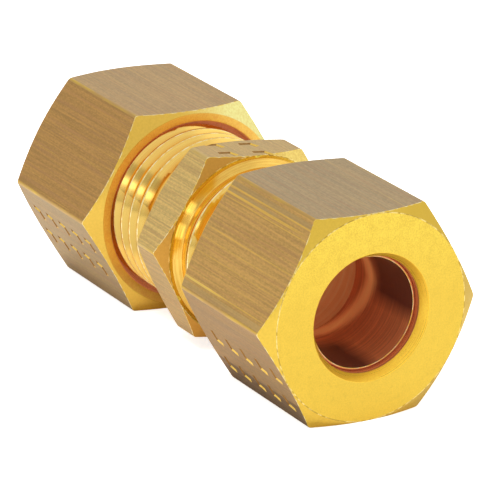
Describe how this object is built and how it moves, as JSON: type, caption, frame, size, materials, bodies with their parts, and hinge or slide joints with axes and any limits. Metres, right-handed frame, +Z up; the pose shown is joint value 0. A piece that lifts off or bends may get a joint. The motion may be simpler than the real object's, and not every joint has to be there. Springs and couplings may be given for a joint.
{
  "type": "compression union fitting",
  "caption": "Straight brass compression union with a hexagonal body, a threaded stub at each end, and hexagonal union nuts over compression rings.",
  "frame": {"origin": "middle of the union body on the tube's axis, halfway between the two tube stops", "axes": "+X along the tube's axis towards the near nut, +Z up with the nuts' flats level, +Y across"},
  "size_m": [0.0467, 0.0216, 0.019],
  "materials": {
    "body_brass": "machined brass, drawn flats on the hexagon, turned threads",
    "nut_brass": "drawn brass flats with lengthwise grain, turned end faces and chamfers",
    "ring_brass": "smooth turned brass"
  },
  "bodies": {
    "body": {"union_body": "body_brass"},
    "near_ring": {"near_ring": "ring_brass"},
    "near_nut": {"near_nut": "nut_brass"},
    "far_ring": {"far_ring": "ring_brass"},
    "far_nut": {"far_nut": "nut_brass"}
  },
  "joints": [
    {"name": "near_ring_travel", "type": "slide", "parent": "body", "child": "near_ring", "axis": [1, 0, 0], "range_m": [-0.00038, 0.00375]},
    {"name": "near_nut_turn", "type": "hinge", "parent": "near_ring", "child": "near_nut", "pos_m": [0, 0, 0], "axis": [1, 0, 0], "range_deg": [-91, 901]},
    {"name": "far_ring_travel", "type": "slide", "parent": "body", "child": "far_ring", "axis": [-1, 0, 0], "range_m": [-0.00147, 0.00265]},
    {"name": "far_nut_turn", "type": "hinge", "parent": "far_ring", "child": "far_nut", "pos_m": [0, 0, 0], "axis": [-1, 0, 0], "range_deg": [-355, 637]}
  ],
  "couplings": [
    {"joint": "near_nut_turn", "follows": "near_ring_travel", "rad_per_m": 4188.8},
    {"joint": "far_nut_turn", "follows": "far_ring_travel", "rad_per_m": 4188.8}
  ]
}
